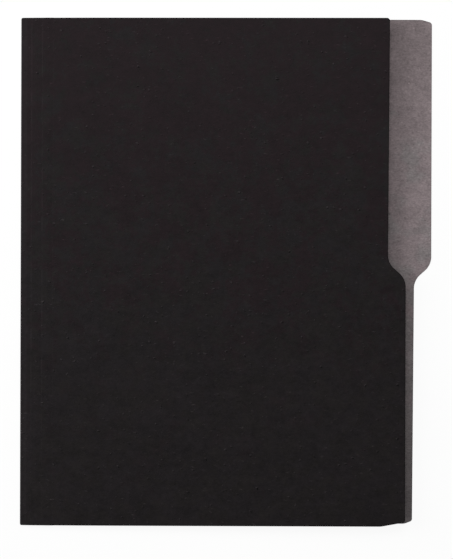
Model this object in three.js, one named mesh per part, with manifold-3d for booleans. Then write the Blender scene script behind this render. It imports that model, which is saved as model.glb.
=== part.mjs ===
// Letter-size file folder with a half-cut index tab, lying closed on its rear leaf.
// Millimetres, +Z up. X runs from the main fold to the tab and Y runs along the fold.
// The real folder is one die-cut sheet of board, scored three times and folded once. It is divided here only
// at its creases: rear leaf, main fold, three spine strips with a score crease after each, and front leaf.
import * as THREE from 'three';
import { mergeVertices } from 'three/addons/utils/BufferGeometryUtils.js';
import Module from 'manifold-3d';

// Board
const BOARD_THICKNESS = 0.3;
const PANEL_GAP = 0.1;

// Overall sizes of the folded sheet
const FOLD_LENGTH = 297.6;
const FOLDED_DEPTH = 241.3;

// Main fold: a rounded turn, then a short flat lead-in to the panel on each side
const FOLD_INNER_RADIUS = 0.55;
const FOLD_CORNER_RADIUS = 1.2;
const LEAD_IN_CLEARANCE = 0.2;

// Score creases, counted from the nose of the fold, pressed in from the outer face
const SCORE_COUNT = 3;
const SCORE_PITCH = 6.35;
const CREASE_WIDTH = 1;
const CREASE_DEPTH = 0.12;

// The cover springs open at the fold by the spine's slope, and eases to the front leaf's lower slope in a
// slight bow that starts after the last score
const SPINE_SLOPE = THREE.MathUtils.degToRad(2);
const FRONT_SLOPE = THREE.MathUtils.degToRad(1.1);
const BOW_LENGTH = 40;

// Rear leaf: the index tab takes the upper half of its free edge
const TAB_PROJECTION = 10.1;
const TAB_STEP_Y = 0;
const REAR_TOP_TAPER = 0.2;
const REAR_BOTTOM_TAPER = 1.15;
const REAR_SIDE_TAPER = 0.8;
const TAB_EASE_LENGTH = 6;
const TAB_EASE_DROP = 1.7;
const REAR_EASE_LENGTH = 4.6;
const REAR_EASE_DROP = 1.7;

// Front leaf: it ends short of the rear leaf and is cut back again beside the tab, a little deeper at the
// step than at the top
const FRONT_SETBACK = 6;
const FRONT_UNDERCUT = 10.3;
const UNDERCUT_LEAN = 0.8;
const FRONT_STEP_Y = 0.9;
const FRONT_TOP_TAPER = 0.6;
const FRONT_BOTTOM_TAPER = 0.8;
const FRONT_EASE_LENGTH = 14;
const FRONT_EASE_DROP = 2.6;
const UNDERCUT_CORNER_RADIUS = 1.75;

// Corners shared by both leaves
const CORNER_RADIUS = 1.85;
const EASE_RADIUS = 8;
const STEP_RADIUS = 9.7;
const STEP_ANGLE = THREE.MathUtils.degToRad(48);

// Facets
const ARC_SEGMENTS = 5;
const FOLD_SEGMENTS = 18;
const CREASE_SEGMENTS = 8;
const BOW_SEGMENTS = 6;

// How far a blank runs past the outline that it is cut to
const TRIM = 5;

// Colours
const OUTER_BLACK = 0x242122;
const INNER_GREY = 0x736a6b;
const BOARD_ROUGHNESS = 0.85;

// Places that follow from the sizes
const noseX = -FOLDED_DEPTH / 2;
const tabX = FOLDED_DEPTH / 2;
const halfFold = FOLD_LENGTH / 2;
const foldMiddleRadius = FOLD_INNER_RADIUS + BOARD_THICKNESS / 2;
const foldOuterRadius = FOLD_INNER_RADIUS + BOARD_THICKNESS;
const foldX = noseX + foldOuterRadius;
const foldZ = foldOuterRadius;
const leadIn = foldOuterRadius + LEAD_IN_CLEARANCE;
const rearX = tabX - TAB_PROJECTION;
const frontX = rearX - FRONT_SETBACK;
const bowStart = scorePlace(SCORE_COUNT) + CREASE_WIDTH / 2;
const bowRadius = BOW_LENGTH / (SPINE_SLOPE - FRONT_SLOPE);
const frontLength = frontX - foldX - bowStart;

// A score's distance along the cover, counted from the end of the fold's turn
function scorePlace(number) {
  return number * SCORE_PITCH - foldOuterRadius;
}

// Stations on the middle of the board: a place, the direction that the outer face looks in, and how far the
// board is pressed in there
function foldStation(turn) {
  const nx = -Math.sin(turn);
  const nz = -Math.cos(turn);
  return { x: foldX + foldMiddleRadius * nx, z: foldZ + foldMiddleRadius * nz, nx, nz, pressed: 0 };
}

function coverStation(along, pressed = 0) {
  const start = foldStation(Math.PI - SPINE_SLOPE);
  const straight = Math.min(along, bowStart);
  const bowed = THREE.MathUtils.clamp(along - bowStart, 0, BOW_LENGTH);
  const rest = Math.max(along - bowStart - BOW_LENGTH, 0);
  const slope = SPINE_SLOPE - bowed / bowRadius;
  const bowX = bowRadius * (Math.sin(SPINE_SLOPE) - Math.sin(slope));
  const bowZ = bowRadius * (Math.cos(slope) - Math.cos(SPINE_SLOPE));
  const x = start.x + straight * Math.cos(SPINE_SLOPE) + bowX + rest * Math.cos(slope);
  const z = start.z + straight * Math.sin(SPINE_SLOPE) + bowZ + rest * Math.sin(slope);
  return { x, z, nx: -Math.sin(slope), nz: Math.cos(slope), pressed };
}

// Evenly spaced stations from one distance to another
function stations(from, to, segments, stationAt) {
  return Array.from({ length: segments + 1 }, (_, i) => stationAt(from + ((to - from) * i) / segments));
}

// A strip of board: the stations give its section in XZ, and it runs along Y, centred on the fold's middle
function boardStrip(line, length) {
  const face = (side) => line.map(({ x, z, nx, nz, pressed }) => {
    const offset = (side * BOARD_THICKNESS) / 2 - pressed;
    return new THREE.Vector2(x + nx * offset, z + nz * offset);
  });
  const section = new THREE.Shape([...face(1), ...face(-1).reverse()]);
  const geometry = new THREE.ExtrudeGeometry(section, { depth: length, bevelEnabled: false });
  geometry.rotateX(Math.PI / 2);
  geometry.translate(0, length / 2, 0);
  return geometry;
}

// An outline in plan from its corners, counter-clockwise, each [x, y, radius], with arcs tangent to both
// sides
function roundedOutline(corners) {
  const shape = new THREE.Shape();
  corners.forEach(([x, y, radius], i) => {
    const corner = new THREE.Vector2(x, y);
    const [beforeX, beforeY] = corners.at(i - 1);
    const [afterX, afterY] = corners[(i + 1) % corners.length];
    const arriving = new THREE.Vector2(x - beforeX, y - beforeY).normalize();
    const leaving = new THREE.Vector2(afterX - x, afterY - y).normalize();
    const turn = Math.atan2(arriving.cross(leaving), arriving.dot(leaving));
    const side = Math.sign(turn);
    const start = corner.clone().addScaledVector(arriving, -radius * Math.tan(Math.abs(turn) / 2));
    const inwards = new THREE.Vector2(-arriving.y, arriving.x).multiplyScalar(side);
    const centre = start.clone().addScaledVector(inwards, radius);
    const startAngle = Math.atan2(start.y - centre.y, start.x - centre.x);
    if (i === 0) {
      shape.moveTo(start.x, start.y);
    } else {
      shape.lineTo(start.x, start.y);
    }
    if (radius > 0) {
      shape.absarc(centre.x, centre.y, radius, startAngle, startAngle + turn, side < 0);
    }
  });
  return shape;
}

// The two corners of an S-shaped step across a free edge, from the lower line to the upper one
function stepCorners(lowerX, upperX, middleY) {
  const halfRise = Math.abs(upperX - lowerX) / Math.tan(STEP_ANGLE) / 2;
  return [[lowerX, middleY - halfRise, STEP_RADIUS], [upperX, middleY + halfRise, STEP_RADIUS]];
}

function plate(outline, thickness) {
  const options = { depth: thickness, bevelEnabled: false, curveSegments: ARC_SEGMENTS };
  return new THREE.ExtrudeGeometry(outline, options);
}

// Rear leaf, flat on the table, with the index tab
function rearLeaf() {
  const startX = foldX + leadIn + PANEL_GAP;
  const topY = halfFold - REAR_TOP_TAPER;
  const bottomY = REAR_BOTTOM_TAPER - halfFold;
  const bottomX = rearX - REAR_SIDE_TAPER;
  return plate(roundedOutline([
    [startX, -halfFold, 0],
    [bottomX - REAR_EASE_LENGTH, bottomY, EASE_RADIUS],
    [bottomX, bottomY + REAR_EASE_DROP, CORNER_RADIUS],
    ...stepCorners(rearX, tabX, TAB_STEP_Y),
    [tabX, topY - TAB_EASE_DROP, CORNER_RADIUS],
    [tabX - TAB_EASE_LENGTH, topY, EASE_RADIUS],
    [startX, halfFold, 0],
  ]), BOARD_THICKNESS);
}

// Main fold: lead-in, turn and lead-in, with its two ends rounded in plan
function mainFold() {
  const leadInStation = { ...foldStation(0), x: foldX + leadIn };
  const turn = stations(0, Math.PI - SPINE_SLOPE, FOLD_SEGMENTS, foldStation);
  const blank = boardStrip([leadInStation, ...turn, coverStation(leadIn)], FOLD_LENGTH);
  const innerX = foldX + leadIn + TRIM;
  return cutToOutline(blank, roundedOutline([
    [noseX, -halfFold, FOLD_CORNER_RADIUS],
    [innerX, -halfFold, 0],
    [innerX, halfFold, 0],
    [noseX, halfFold, FOLD_CORNER_RADIUS],
  ]));
}

// Spine strip: the flat board between one crease and the next, the first one starting at the main fold
function spineStrip(number) {
  const from = number === 1 ? leadIn : scorePlace(number - 1) + CREASE_WIDTH / 2;
  const to = scorePlace(number) - CREASE_WIDTH / 2;
  return boardStrip([coverStation(from + PANEL_GAP), coverStation(to - PANEL_GAP)], FOLD_LENGTH);
}

// Score crease: the board pressed in along a rounded groove
function scoreCrease(number) {
  const middle = scorePlace(number);
  const pressedAt = (along) => CREASE_DEPTH * Math.cos((Math.PI * (along - middle)) / CREASE_WIDTH) ** 2;
  const line = stations(middle - CREASE_WIDTH / 2, middle + CREASE_WIDTH / 2, CREASE_SEGMENTS,
    (along) => coverStation(along, pressedAt(along)));
  return boardStrip(line, FOLD_LENGTH);
}

// Front leaf: a slightly bowed strip of board, cut to its outline with the undercut beside the tab
function frontLeaf() {
  const bow = stations(bowStart + PANEL_GAP, bowStart + BOW_LENGTH, BOW_SEGMENTS, coverStation);
  const blank = boardStrip([...bow, coverStation(bowStart + frontLength + TRIM)], FOLD_LENGTH + 2 * TRIM);
  const startX = foldX + bowStart - TRIM;
  const topY = halfFold - FRONT_TOP_TAPER;
  const bottomY = FRONT_BOTTOM_TAPER - halfFold;
  const undercutX = frontX - FRONT_UNDERCUT;
  return cutToOutline(blank, roundedOutline([
    [startX, -halfFold, 0],
    [frontX - FRONT_EASE_LENGTH, bottomY, EASE_RADIUS],
    [frontX, bottomY + FRONT_EASE_DROP, CORNER_RADIUS],
    ...stepCorners(frontX, undercutX, FRONT_STEP_Y),
    [undercutX + UNDERCUT_LEAN, topY, UNDERCUT_CORNER_RADIUS],
    [startX, halfFold, 0],
  ]));
}

// Solids for the cutting library, and back
const wasm = await Module();
wasm.setup();

function toSolid(geometry) {
  const bare = geometry.clone();
  bare.deleteAttribute('normal');
  bare.deleteAttribute('uv');
  const merged = mergeVertices(bare);
  const vertProperties = new Float32Array(merged.attributes.position.array);
  const triVerts = new Uint32Array(merged.index.array);
  return new wasm.Manifold(new wasm.Mesh({ numProp: 3, vertProperties, triVerts }));
}

function toGeometry(solid) {
  const mesh = solid.getMesh();
  const geometry = new THREE.BufferGeometry();
  geometry.setAttribute('position', new THREE.BufferAttribute(mesh.vertProperties, mesh.numProp));
  geometry.setIndex(new THREE.BufferAttribute(mesh.triVerts, 1));
  geometry.computeVertexNormals();
  return geometry;
}

// A blank cut square to the table along an outline in plan
function cutToOutline(blank, outline) {
  blank.computeBoundingBox();
  const { min, max } = blank.boundingBox;
  const cutter = plate(outline, max.z - min.z + 2 * TRIM);
  cutter.translate(0, 0, min.z - TRIM);
  return toGeometry(toSolid(blank).intersect(toSolid(cutter)));
}

// The folder
const folder = new THREE.Group();

function addPiece(name, geometry, color) {
  const material = new THREE.MeshStandardMaterial({ color, roughness: BOARD_ROUGHNESS, metalness: 0 });
  const mesh = new THREE.Mesh(geometry, material);
  mesh.name = name;
  folder.add(mesh);
}

addPiece('rear_leaf', rearLeaf(), INNER_GREY);
addPiece('main_fold', mainFold(), OUTER_BLACK);
for (let number = 1; number <= SCORE_COUNT; number += 1) {
  addPiece(`spine_strip_${number}`, spineStrip(number), OUTER_BLACK);
  addPiece(`score_crease_${number}`, scoreCrease(number), OUTER_BLACK);
}
addPiece('front_leaf', frontLeaf(), OUTER_BLACK);

export default folder;
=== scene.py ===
import math

import bmesh
import bpy
from mathutils import Euler, Matrix, Vector, noise


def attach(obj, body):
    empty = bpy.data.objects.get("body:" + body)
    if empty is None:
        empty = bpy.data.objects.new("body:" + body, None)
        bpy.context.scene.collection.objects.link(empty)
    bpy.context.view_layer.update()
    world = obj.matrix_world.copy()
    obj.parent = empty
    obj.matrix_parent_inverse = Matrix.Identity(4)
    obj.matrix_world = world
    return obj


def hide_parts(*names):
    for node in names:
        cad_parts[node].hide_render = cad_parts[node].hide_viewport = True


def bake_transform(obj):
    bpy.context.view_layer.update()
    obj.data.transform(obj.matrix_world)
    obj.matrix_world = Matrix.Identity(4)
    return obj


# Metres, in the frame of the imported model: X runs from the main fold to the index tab, Y along the fold,
# and Z up out of the closed cover.
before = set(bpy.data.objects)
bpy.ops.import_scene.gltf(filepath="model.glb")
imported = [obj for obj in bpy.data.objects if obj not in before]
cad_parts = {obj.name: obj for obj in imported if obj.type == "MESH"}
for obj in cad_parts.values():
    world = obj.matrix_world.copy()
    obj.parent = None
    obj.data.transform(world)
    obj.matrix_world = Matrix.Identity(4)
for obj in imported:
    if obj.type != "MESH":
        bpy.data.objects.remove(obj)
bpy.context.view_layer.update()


# Rear leaf
# The back panel of the folder with its half-cut index tab. It is thin board, as the whole folder is, with a
# dyed black outer ply under it and a grey, mottled inner ply on top. One stroke of a die cuts it out with the
# other leaf, and a narrow rim along the cut is marked, where the board is painted darker as shade of its
# edge.

board = 0.0003
half_fold = 0.1488
rim_width = 0.0009
corner_segments = 8
sharp_angle = math.radians(35)
black_slot = 0
grey_slot = 1
edge_slot = 2

# A corner is its X, its Y, and how far it is eased along both edges. The seam cuts off the first and last.
rear_seam = -0.11875
rear_corners = [
    (-0.130, -0.14884, 0),
    (0.10515, -0.14765, 0.0009),
    (0.10975, -0.14595, 0.0012),
    (0.11055, -0.004547, 0.00432),
    (0.12065, 0.004547, 0.00432),
    (0.12065, 0.1469, 0.0015),
    (0.11465, 0.1486, 0.0011),
    (-0.130, 0.14881, 0),
]


class Tone:
    """A value that changes over the board. Sums and products of it add the nodes that work them out."""

    def __init__(self, finish, socket):
        self.finish = finish
        self.socket = socket

    def maths(self, operation, first, second):
        return self.finish.node("ShaderNodeMath", {"operation": operation}, {0: first, 1: second})

    def __add__(self, other):
        return self.maths("ADD", self, other)

    def __sub__(self, other):
        return self.maths("SUBTRACT", self, other)

    def __rsub__(self, other):
        return self.maths("SUBTRACT", other, self)

    def __mul__(self, other):
        return self.maths("MULTIPLY", self, other)

    def __pow__(self, other):
        return self.maths("POWER", self, other)

    __radd__ = __add__
    __rmul__ = __mul__


class Finish:
    """One finish: a material, or the world around, whose nodes are added one at a time."""

    def __init__(self, made):
        self.made = made
        made.use_nodes = True
        self.nodes = made.node_tree.nodes
        self.links = made.node_tree.links
        self.nodes.clear()

    def node(self, kind, settings=None, sockets=None, output=0):
        made = self.nodes.new(kind)
        for name, value in (settings or {}).items():
            setattr(made, name, value)
        for name, value in (sockets or {}).items():
            if isinstance(value, Tone):
                self.links.new(value.socket, made.inputs[name])
            else:
                made.inputs[name].default_value = value
        return Tone(self, made.outputs[output]) if len(made.outputs) else None

    def place(self):
        return self.node("ShaderNodeTexCoord", output="Object")

    def along(self, place, axis):
        return self.node("ShaderNodeSeparateXYZ", sockets={"Vector": place}, output=axis)

    def stretched(self, place, scale, shift=(0, 0, 0)):
        return self.node("ShaderNodeMapping", sockets={"Vector": place, "Scale": scale, "Location": shift})

    def swayed(self, place, size, reach):
        """The place, moved to and fro from spot to spot, so that what is drawn on it turns out ragged."""
        sway = self.node("ShaderNodeTexNoise", sockets={"Vector": place, "Scale": 1 / size}, output="Color")
        centred = self.node("ShaderNodeVectorMath", {"operation": "SUBTRACT"}, {0: sway, 1: (0.5, 0.5, 0.5)})
        moved = self.node("ShaderNodeVectorMath", {"operation": "SCALE"}, {"Vector": centred, "Scale": reach})
        return self.node("ShaderNodeVectorMath", {"operation": "ADD"}, {0: place, 1: moved})

    def cloud(self, place, size, detail, roughness=0.55):
        """Soft blotches of about that size in metres, from 0 to 1."""
        return self.node("ShaderNodeTexNoise", sockets={
            "Vector": place, "Scale": 1 / size, "Detail": detail, "Roughness": roughness})

    def step(self, value, low, high, start=0.0, end=1.0):
        """Goes smoothly from start to end, while the value goes from low to high."""
        return self.node("ShaderNodeMapRange", {"interpolation_type": "SMOOTHSTEP"}, {
            "Value": value, "From Min": low, "From Max": high, "To Min": start, "To Max": end})

    def nubs(self, place, spacing, size, rarity):
        """Small separate specks, up to 1 at their middle. The greater the rarity, the fewer are strong."""
        cell = {"Vector": place, "Scale": 1 / spacing, "Randomness": 1.0}
        near = self.node("ShaderNodeTexVoronoi", {"feature": "F1"}, cell, "Distance")
        draw = self.node("ShaderNodeTexVoronoi", {"feature": "F1"}, cell, "Color")
        strength = self.node("ShaderNodeSeparateColor", sockets={"Color": draw}, output="Red") ** rarity
        return strength * self.step(near, 0.0, size / spacing, 1.0, 0.0)

    def rim(self, tone):
        """1 over the board, and that tone on the narrow rim along a cut, where it is painted darker as shade
        of the edge.
        """
        mark = self.node("ShaderNodeAttribute", {"attribute_name": "rim"}, output="Fac")
        return self.step(mark, 0.15, 1.0, 1.0, tone)

    def mixed(self, amount, first, second):
        return self.node("ShaderNodeMix", {"data_type": "RGBA"}, {0: amount, 6: first, 7: second}, 2)

    def brightened(self, colour, amount):
        """The colour times a value."""
        return self.node("ShaderNodeVectorMath", {"operation": "SCALE"}, {"Vector": colour, "Scale": amount})

    def surface(self, colour, roughness, specular, height, depth):
        bump = self.node("ShaderNodeBump", sockets={"Height": height, "Strength": 1.0, "Distance": depth})
        shader = self.node("ShaderNodeBsdfPrincipled", sockets={
            "Base Color": colour, "Roughness": roughness, "Specular IOR Level": specular, "Normal": bump})
        self.node("ShaderNodeOutputMaterial", sockets={"Surface": shader})


def outer_ply(name, pale_marks, pale_share):
    """Dyed black ply: neutral and warm black in ragged patches, warmer towards the tab's end, a fine grain,
    and loose groups of pale fibre nubs and short fibres that stand up a little. Beside each nub lies a
    shifted dark copy of it, a painted shadow that is also a small dip in the relief. The pale marks it is
    given, some of them painted highlight, make it paler, and the last argument says how far its colour goes
    there towards the pale of the nubs."""
    brownish = (0.0104, 0.0090, 0.0090, 1)
    bluish = (0.0104, 0.0089, 0.0098, 1)
    warm = (0.0112, 0.0070, 0.0084, 1)
    pale_fibre_and_highlight = (0.0106, 0.0088, 0.0096, 1)
    warm_share = 0.2
    nub = {"spacing": 0.0037, "size": 0.00088, "rarity": 2.2}
    nub_stretch = (1, 1.6, 1)
    nub_shadow_shift = (-0.0006, 0.0010, 0)
    finish = Finish(bpy.data.materials.new(name))
    place = finish.place()
    lengthways = finish.along(place, "Y")

    blotches = finish.cloud(place, size=0.014, detail=5.0, roughness=0.85)
    patches = finish.step(blotches + 0.60 * lengthways, 0.46, 0.58)
    contrast = finish.step(lengthways, -0.08, 0.0, 0.35, 1.0)
    tint_place = finish.stretched(place, (1, 1, 1), (0.2, 0.6, 0.1))
    tint = finish.cloud(tint_place, size=0.012, detail=4.0, roughness=0.8)
    neutral = finish.mixed(finish.step(tint, 0.46, 0.54), brownish, bluish)
    colour = finish.mixed(contrast * (patches - warm_share) + warm_share, neutral, warm)

    grain_place = finish.stretched(place, (1, 1.3, 1), (0.4, 0.2, 0.1))
    grain = finish.cloud(grain_place, size=0.010, detail=4.0, roughness=1.0)
    group_place = finish.stretched(place, (0.8, 1.3, 1), (0.3, 0.1, 0.2))
    gathered = finish.step(finish.cloud(group_place, size=0.011, detail=3.0), 0.38, 0.62, 0.50, 1.35)
    ragged = finish.swayed(place, size=0.0022, reach=0.0026)
    nubs = gathered * finish.nubs(finish.stretched(ragged, nub_stretch), **nub)
    # A shifted dark copy of the nubs: a painted shadow beside each nub, and a small dip in the relief.
    pits_and_nub_shadows = gathered * finish.nubs(finish.stretched(ragged, nub_stretch, nub_shadow_shift), **nub)
    fibre_place = finish.stretched(ragged, (0.6, 2.4, 1), (0.2, 0.1, 0.3))
    fibres = gathered * finish.nubs(fibre_place, spacing=0.0042, size=0.0010, rarity=2.2)

    coarse = finish.step(lengthways, 0.12, -0.12, 1.0, 1.14)
    # Painted shadow beside each nub darkens the black here.
    light = 1 + coarse * (1.7 * grain - 0.85 + 2.0 * nubs + 1.6 * fibres - pits_and_nub_shadows)
    colour = finish.mixed(2.0 * nubs, colour, pale_fibre_and_highlight)
    # Pale marks make the black paler: the painted highlight of the fold, and paler streaks and score lines.
    if pale_marks:
        paled = pale_marks(finish, place)
        colour = finish.mixed(pale_share * paled, colour, pale_fibre_and_highlight)
        light = light + paled
    # Painted shade: the black is darker on the rim along each cut.
    colour = finish.brightened(colour, light * finish.rim(0.3))
    roughness = finish.step(grain, 0.3, 0.7, 0.62, 0.74)
    relief = nubs + 0.6 * fibres - 0.7 * pits_and_nub_shadows + 0.8 * grain
    finish.surface(colour, roughness, specular=0.11, height=relief, depth=0.00022)
    return finish.made


def inner_ply(name):
    """Undyed grey inner ply of mixed pulp: a mottled purplish grey with fine light and dark specks, darker
    towards its upper end. Its colour holds painted shade of the cover: darker beside the cover's edge and
    paler towards the tab's outer edge, and on the strip below the tab darker towards the lower end."""
    grey = (0.1590, 0.1415, 0.1430, 1)
    purplish = (0.1690, 0.1388, 0.1433, 1)
    finish = Finish(bpy.data.materials.new(name))
    place = finish.place()
    outwards = finish.along(place, "X")
    lengthways = finish.along(place, "Y")

    drift = finish.cloud(place, size=0.020, detail=4.0, roughness=0.6)
    colour = finish.mixed(finish.step(drift + 1.6 * lengthways, 0.44, 0.60), grey, purplish)
    grain = finish.cloud(place, size=0.013, detail=5.0, roughness=1.0)
    fibres = finish.cloud(finish.stretched(place, (0.8, 1.6, 1)), size=0.0011, detail=2.0, roughness=0.7)
    specks = finish.nubs(place, spacing=0.0030, size=0.0009, rarity=3.0)
    pale_place = finish.stretched(place, (1, 1, 1), (0.2, 0.3, 0.1))
    pale = finish.nubs(pale_place, spacing=0.0032, size=0.0008, rarity=3.0)

    # Painted shade of the cover: darker beside the cover's edge, and paler towards the tab's outer edge.
    cover_edge_shade = finish.step(outwards, 0.096, 0.106, 0.91, 0.99)
    painted_cover_shade = cover_edge_shade + finish.step(outwards, 0.112, 0.1205, 0.0, 0.07)
    # Painted shade of the cover on the strip below the tab: darker towards the lower end.
    shade_below_tab = finish.step(lengthways, 0.004, -0.016, 0.0, 0.20)
    strip_shade = shade_below_tab + finish.step(lengthways, -0.03, -0.14, 0.0, 0.23)
    strip_shade_factor = 1 - strip_shade * finish.step(outwards, 0.085, 0.108)
    # The grey is darker towards the upper end of the board, and carries both painted shades of the cover.
    tone = finish.step(lengthways, 0.145, 0.06, 0.96, 1.175) * painted_cover_shade * strip_shade_factor
    light = -0.33 + 1.4 * grain + 0.25 * drift + 1.1 * fibres - 0.45 * specks + 0.60 * pale
    # Painted shade: the grey is a little darker on the rim along each cut.
    colour = finish.brightened(colour, light * tone * finish.rim(0.8))
    finish.surface(colour, 0.82, specular=0.2, height=grain + fibres + pale - specks, depth=0.00006)
    return finish.made


def cut_edge(name):
    """The board's cut edge: loose dark fibres of both plies."""
    black_fibre = (0.012, 0.011, 0.011, 1)
    grey_fibre = (0.060, 0.053, 0.054, 1)
    finish = Finish(bpy.data.materials.new(name))
    fibres = finish.cloud(finish.stretched(finish.place(), (1, 1, 6)), size=0.0008, detail=2.0)
    colour = finish.mixed(fibres, black_fibre, grey_fibre)
    finish.surface(colour, 0.9, specular=0.1, height=fibres, depth=0.00003)
    return finish.made


def plies(name, pale_marks=None, pale_share=2.5):
    """The three finishes of a piece of the board, in the order of its slots."""
    outer = outer_ply(f"{name} outer black", pale_marks, pale_share)
    return [outer, inner_ply(f"{name} inner grey"), cut_edge(f"{name} cut edge")]


def cut_across(bm, spot, facing, clear_inner=False):
    """Cuts a mesh in two along a plane. What lies behind it is cleared only where that is asked for."""
    bmesh.ops.bisect_plane(bm, geom=bm.verts[:] + bm.edges[:] + bm.faces[:], plane_co=spot, plane_no=facing,
                           clear_inner=clear_inner)


def die_cut(corners, seam):
    """A flat sheet cut to its outline, each corner eased and the rim along the cut marked for its painted
    shade, and then cut off at the seam with its neighbour."""
    bm = bmesh.new()
    marks = bm.verts.layers.float.new("rim")
    points = [bm.verts.new((x, y, 0)) for x, y, _ in corners]
    bm.faces.new(points)
    for point, (_, _, ease) in zip(points, corners):
        if ease:
            bmesh.ops.bevel(bm, geom=[point], offset=ease, offset_type="OFFSET", segments=corner_segments,
                            affect="VERTICES", profile=0.5, material=-1)
    for point in bm.verts:
        point[marks] = 1.0
    inner = bmesh.ops.inset_region(bm, faces=bm.faces[:], thickness=rim_width, use_even_offset=True,
                                   use_boundary=True)
    ring = set(inner["faces"])
    for face in bm.faces:
        if face not in ring:
            for point in face.verts:
                point[marks] = 0.0
    cut_across(bm, (seam, 0, 0), (1, 0, 0), clear_inner=True)
    return bm


def thicken(bm):
    """Gives the flat sheet the board's thickness, upwards from where it lies."""
    bmesh.ops.recalc_face_normals(bm, faces=bm.faces[:])
    if sum(face.normal.z for face in bm.faces) > 0:
        bmesh.ops.reverse_faces(bm, faces=bm.faces[:])
    bmesh.ops.solidify(bm, geom=bm.faces[:], thickness=board)
    bmesh.ops.recalc_face_normals(bm, faces=bm.faces[:])
    lowest = min(point.co.z for point in bm.verts)
    bmesh.ops.translate(bm, verts=bm.verts[:], vec=(0, 0, -lowest))


def sort_sides(bm, up, down):
    """Gives the upper face, the lower face and the cut edge their slots. It runs while the board is flat."""
    for face in bm.faces:
        if abs(face.normal.z) < 0.5:
            face.material_index = edge_slot
        else:
            face.material_index = up if face.normal.z > 0 else down


def keep(name, bm, finishes):
    """Ends a piece: an object at the origin with its place in its mesh."""
    mesh = bpy.data.meshes.new(name)
    bm.to_mesh(mesh)
    bm.free()
    mesh.shade_smooth()
    mesh.set_sharp_from_angle(angle=sharp_angle)
    piece = bpy.data.objects.new(name, mesh)
    bpy.context.scene.collection.objects.link(piece)
    for material in finishes:
        mesh.materials.append(material)
    return piece


bm = die_cut(rear_corners, rear_seam)
thicken(bm)
sort_sides(bm, up=grey_slot, down=black_slot)
rear_leaf = keep("rear_board", bm, plies("rear"))
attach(rear_leaf, "rear")
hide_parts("rear_leaf")


# Main fold
# The rounded turn of the board between the two leaves, with a short flat lead-in on each side. It is pressed
# round in the folder machine, and the black ply is painted paler over the turn and most along its nose, a
# painted highlight of the rounding.

fold_axis = Vector((-0.1198, 0, 0.00085))
spine_slope = math.radians(2)
fold_inner = fold_axis.z - board
lead_in = 0.00105
turn_steps = 28
fold_corner = 0.0012
rim_points = half_fold - 1.5 * rim_width
# How much paler the black is painted on the nose and over the rest of the turn, a painted highlight.
nose_highlight = 0.45
turn_highlight = 0.18


def only(parts, kind):
    return [part for part in parts if isinstance(part, kind)]


def mark_ends(bm):
    """Marks the rim at the two cut ends of a strip that runs the folder's whole length, where it is painted
    darker as shade of the edge.
    """
    for side in (-1, 1):
        cut_across(bm, (0, side * (half_fold - rim_width), 0), (0, 1, 0))
    marks = bm.verts.layers.float.get("rim") or bm.verts.layers.float.new("rim")
    for point in bm.verts:
        point[marks] = 1.0 if abs(point.co.y) > half_fold - rim_width / 2 else 0.0


def nose_highlight_band(finish, place):
    """Painted highlight of the turn, strongest on its nose."""
    across = finish.along(place, "X")
    return finish.step(across, fold_axis.x - 0.0008, fold_axis.x + 0.0006, nose_highlight, turn_highlight)


bm = bmesh.new()
end_wall = bmesh.ops.create_grid(bm, x_segments=1, y_segments=1, size=0.5)["verts"]
bmesh.ops.scale(bm, verts=end_wall, vec=(board, 2 * half_fold, 1))
bmesh.ops.rotate(bm, verts=end_wall, cent=(0, 0, 0), matrix=Matrix.Rotation(math.radians(90), 3, "Y"))
bmesh.ops.translate(bm, verts=end_wall, vec=(fold_axis.x + lead_in, 0, board / 2))
grown = bmesh.ops.extrude_face_region(bm, geom=bm.faces[:])["geom"]
bmesh.ops.translate(bm, verts=only(grown, bmesh.types.BMVert), vec=(-lead_in, 0, 0))
turn_start = only(grown, bmesh.types.BMFace)
turned = bmesh.ops.spin(bm, geom=turn_start, cent=fold_axis, axis=(0, 1, 0), angle=math.pi - spine_slope,
                        steps=turn_steps, use_merge=False, use_duplicate=False)["geom_last"]
turn_end = only(turned, bmesh.types.BMFace)
grown = bmesh.ops.extrude_face_region(bm, geom=turn_end)["geom"]
bmesh.ops.translate(bm, verts=only(grown, bmesh.types.BMVert),
                    vec=(lead_in * math.cos(spine_slope), 0, lead_in * math.sin(spine_slope)))
inside = [face for face in turn_start + turn_end if face.is_valid]
bmesh.ops.delete(bm, geom=inside, context="FACES_ONLY")
bmesh.ops.recalc_face_normals(bm, faces=bm.faces[:])
mark_ends(bm)

# Both corners of the turn are drawn in, together with their rim.
for point in bm.verts:
    past = fold_corner - (point.co.x - (fold_axis.x - fold_axis.z))
    if past > 0 and abs(point.co.y) > rim_points:
        drawn_in = fold_corner - math.sqrt(fold_corner ** 2 - past ** 2)
        point.co.y -= math.copysign(drawn_in, point.co.y)

for face in bm.faces:
    middle = face.calc_center_median() - fold_axis
    above_flat = abs(middle.z - middle.x * math.tan(spine_slope if middle.z > 0 else 0))
    radius = math.hypot(middle.x, middle.z) if middle.x < 0 else above_flat
    if abs(face.normal.y) > 0.5:
        face.material_index = edge_slot
    else:
        face.material_index = black_slot if radius > fold_inner + board / 2 else grey_slot
main_fold = keep("fold_turn", bm, plies("fold", nose_highlight_band))
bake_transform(main_fold)
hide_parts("main_fold")


# Spine strips and score creases
# Three score lines run beside the fold, a quarter inch apart, so that the folder can be squared to the
# thickness of its papers. A rule presses each one into the outer face, unevenly along its length, and a paler
# line runs along it. The strips between them stay nearly flat, and the first two are a little paler than the
# rest of the cover in streaks; the first also carries on the painted highlight of the fold's nose.

score_pitch = 0.00635
crease_width = 0.001
press_waves = 90
least_press = 0.1
front_slope = math.radians(1.1)
bow_start = 0.0187
bow_length = 0.040
bow_radius = bow_length / (spine_slope - front_slope)

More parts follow.
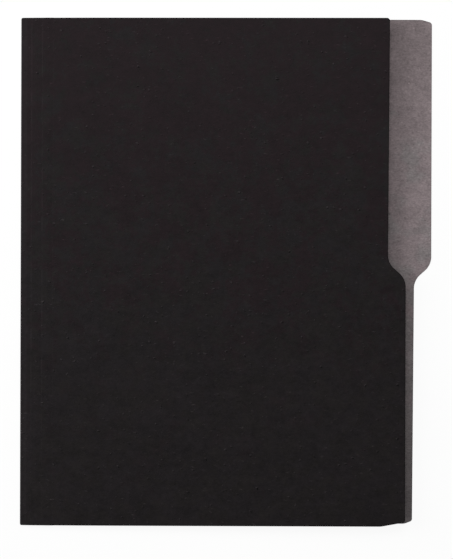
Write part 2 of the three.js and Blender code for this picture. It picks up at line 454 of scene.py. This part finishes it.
# One row for each score and the strip before it. Crown, paler streaks and the painted highlight carried on
# from the fold's nose are the strip's, and depth and paler line the score's. A paler line is its width, its
# strength, and the least of it that is left where it is broken.
scores = [
    {"depth": 0.00004, "crown": 0, "streak_paling": 0.12, "fold_highlight": 0.20, "pale_line": (0.0008, 0.50, 0.20)},
    {"depth": 0.00004, "crown": 0.00005, "streak_paling": 0.05, "fold_highlight": 0, "pale_line": (0.0006, 0.44, 0.08)},
    {"depth": 0.00002, "crown": 0.00005, "streak_paling": 0, "fold_highlight": 0, "pale_line": (0.0006, 0.10, 0.02)},
]


def cover_place(along, height):
    """Where a point of the flat cover goes: up the spine's slope, and past a slight bow up the front's."""
    straight = min(along, bow_start)
    bowed = min(max(along - bow_start, 0), bow_length)
    rest = max(along - bow_start - bow_length, 0)
    slope = spine_slope - bowed / bow_radius
    x = straight * math.cos(spine_slope) + rest * math.cos(slope)
    z = straight * math.sin(spine_slope) + rest * math.sin(slope)
    x += bow_radius * (math.sin(spine_slope) - math.sin(slope)) - height * math.sin(slope)
    z += bow_radius * (math.cos(slope) - math.cos(spine_slope)) + height * math.cos(slope)
    start = fold_axis + Vector((-math.sin(spine_slope), 0, math.cos(spine_slope))) * fold_inner
    return start + Vector((x, 0, z))


def score_place(number):
    return number * score_pitch - fold_axis.z


def strip_of_cover(start, end, across, lengths):
    """A flat rectangle of board between two distances along the cover, divided for the shape it is given."""
    bm = bmesh.new()
    sheet = bmesh.ops.create_grid(bm, x_segments=across, y_segments=lengths, size=0.5)["verts"]
    bmesh.ops.scale(bm, verts=sheet, vec=(end - start, 2 * half_fold, 1))
    bmesh.ops.translate(bm, verts=sheet, vec=((start + end) / 2, 0, 0))
    thicken(bm)
    sort_sides(bm, up=black_slot, down=grey_slot)
    mark_ends(bm)
    return bm


def lay_on_cover(bm, raised):
    """Bends a flat piece to the cover's line. Raised says how far the board stands off it at a flat place."""
    for point in bm.verts:
        at = cover_place(point.co.x, point.co.z + raised(point.co.x, point.co.y))
        point.co = (at.x, point.co.y, at.z)
    bmesh.ops.recalc_face_normals(bm, faces=bm.faces[:])


def streaks_and_fold_highlight(strength, nose):
    """Paler streaks, and beside the fold the last of the painted highlight of its nose."""
    def pale_marks(finish, place):
        streak_place = finish.stretched(place, (2.5, 0.35, 1), (0.1, 0.5, 0))
        streaks = finish.cloud(streak_place, size=0.011, detail=4.0)
        # Painted highlight of the fold's nose, carried on beside it.
        fold_highlight = finish.step(finish.along(place, "X"), -0.1172, -0.1166, nose, 0.0)
        return finish.step(streaks, 0.35, 0.7, 0.3 * strength, strength) + fold_highlight
    return pale_marks


def pale_score_line(middle, width, strength, least):
    """A paler line along a score, broken up along its length and fainter away from the tab."""
    def pale_marks(finish, place):
        break_place = finish.stretched(place, (0.2, 1, 1), (0, 40 * middle, 0))
        breaks = finish.cloud(break_place, size=0.008, detail=4.0)
        offset = finish.along(place, "X") - middle
        distance = finish.node("ShaderNodeMath", {"operation": "ABSOLUTE"}, {0: offset})
        near = finish.step(distance, 0.0001, width, 1.0, 0.0)
        fading = finish.step(finish.along(place, "Y"), -0.03, -0.13, 1.0, 0.4)
        return near * fading * finish.step(breaks, 0.40, 0.58, least, strength)
    return pale_marks


def pressed(number, y):
    """How deep a score is at a place of its length, as a share of its full depth: less away from the tab."""
    uneven = 0.5 + noise.noise(Vector((3.1 * number, press_waves * y, 0.5)))
    fading = 0.7 + 2 * y
    return min(max(uneven, least_press), 1.0) * fading


for number, row in enumerate(scores, 1):
    score = score_place(number)
    near_end = lead_in if number == 1 else score_place(number - 1) + crease_width / 2
    far_end = score - crease_width / 2
    width = far_end - near_end
    bm = strip_of_cover(near_end, far_end, across=10, lengths=1)
    lay_on_cover(bm, lambda along, y: row["crown"] * math.sin(math.pi * (along - near_end) / width))
    pale_marks = streaks_and_fold_highlight(row["streak_paling"], row["fold_highlight"])
    strip = keep(f"spine_board_{number}", bm, plies(f"strip {number}", pale_marks))
    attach(strip, "spine")
    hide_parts(f"spine_strip_{number}")

    bm = strip_of_cover(far_end, score + crease_width / 2, across=12, lengths=80)
    lay_on_cover(bm, lambda along, y: -row["depth"] * pressed(number, y) * math.cos(
        math.pi * (along - score) / crease_width) ** 2)
    pale_lines = pale_score_line(cover_place(score, board).x, *row["pale_line"])
    crease = keep(f"score_line_{number}", bm, plies(f"score {number}", pale_lines, pale_share=0.5))
    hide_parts(f"score_crease_{number}")
    if number < len(scores):
        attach(crease, "spine")
    else:
        cover_place(score - crease_width / 2, board / 2)
        cover_place(score + crease_width / 2, board / 2)
        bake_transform(crease)


# Front leaf
# The cover of the folder. It springs open a little at the fold and bows level towards its free edge, which is
# cut back beside the tab so that the tab can be read. Its outline was cut by the same die as the rear leaf's.

front_seam = score_place(len(scores)) + crease_width / 2
edge_along = 0.22443
ease_length = 0.014
undercut = 0.0103
undercut_lean = 0.0008

# A corner is its distance along the cover, its Y, and how far it is eased along both edges.
front_corners = [
    (0.0, -half_fold, 0),
    (edge_along - ease_length, -0.1480, 0.0008),
    (edge_along, -0.1454, 0.0014),
    (edge_along, -0.003737, 0.00432),
    (edge_along - undercut, 0.005537, 0.00432),
    (edge_along - undercut + undercut_lean, 0.1482, 0.00175),
    (0.0, half_fold, 0),
]
bow_cuts = 12

bm = die_cut(front_corners, front_seam)
for cut in range(1, bow_cuts + 1):
    cut_across(bm, (bow_start + bow_length * cut / bow_cuts, 0, 0), (1, 0, 0))
thicken(bm)
sort_sides(bm, up=black_slot, down=grey_slot)
lay_on_cover(bm, lambda along, y: 0)
front_leaf = keep("front_board", bm, plies("front"))
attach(front_leaf, "front")
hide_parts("front_leaf")


# Table
# A plain white sheet that the folder lies on. It looks white to the camera, and keeps part of the soft shadow
# that the folder throws on it.

table_reach = 3
table_drop = 0.00005
shadow_share = 0.10

table_mesh = bpy.data.meshes.new("table")
bm = bmesh.new()
bmesh.ops.create_grid(bm, x_segments=1, y_segments=1, size=table_reach)
bmesh.ops.translate(bm, verts=bm.verts[:], vec=(0, 0, -table_drop))
bm.to_mesh(table_mesh)
bm.free()
table = bpy.data.objects.new("table", table_mesh)
bpy.context.scene.collection.objects.link(table)
white = Finish(bpy.data.materials.new("white table"))
table_mesh.materials.append(white.made)
path = white.node("ShaderNodeLightPath", output="Is Camera Ray")
paper = white.node("ShaderNodeBsdfDiffuse", sockets={"Color": (0.98, 0.98, 0.98, 1)})
glow = white.node("ShaderNodeEmission", sockets={"Color": (1, 1, 1, 1), "Strength": 1.0})
both = white.node("ShaderNodeMixShader", sockets={0: path * (1 - shadow_share), 1: paper, 2: glow})
white.node("ShaderNodeOutputMaterial", sockets={"Surface": both})


# Light
# A plain soft studio: an even surround that looks white to the camera, a large soft panel beyond the upper
# end of the fold, and a low one far out on the side of the fold.

surround_strength = 0.40

surround = bpy.data.worlds.new("surround")
bpy.context.scene.world = surround
around = Finish(surround)
seen = around.node("ShaderNodeLightPath", output="Is Camera Ray")
strength = (1 - surround_strength) * seen + surround_strength
even = around.node("ShaderNodeBackground", sockets={"Color": (1, 1, 1, 1), "Strength": strength})
around.node("ShaderNodeOutputWorld", sockets={"Surface": even})


def soft_panel(name, place, size, power):
    """A square panel of light that faces the folder."""
    light = bpy.data.lights.new(name, "AREA")
    light.shape = "SQUARE"
    light.size = size
    light.energy = power
    panel = bpy.data.objects.new(name, light)
    panel.location = place
    panel.rotation_euler = (-panel.location).to_track_quat("-Z", "Y").to_euler()
    bpy.context.scene.collection.objects.link(panel)


soft_panel("upper panel", place=(0.05, 0.68, 0.68), size=0.5, power=4.3)
soft_panel("side panel", place=(-1.5, 0.35, 0.56), size=0.9, power=21.0)


# Camera
# It looks straight down at the folder, turned a touch so that the fold leans as it does in the photo. It is
# near enough for the raised cover to show a little larger than the rear leaf under it.

camera_height = 0.6
photo_lean = math.radians(0.166)

camera_data = bpy.data.cameras.new("camera")
camera_data.sensor_width = 36
camera_data.lens = 65.68
camera_data.clip_start = 0.01
camera = bpy.data.objects.new("camera", camera_data)
camera.location = (0.00029, -0.00436, camera_height)
camera.rotation_euler = Euler((0, 0, photo_lean))
bpy.context.scene.collection.objects.link(camera)
bpy.context.scene.camera = camera

bpy.context.scene.view_settings.view_transform = "Standard"
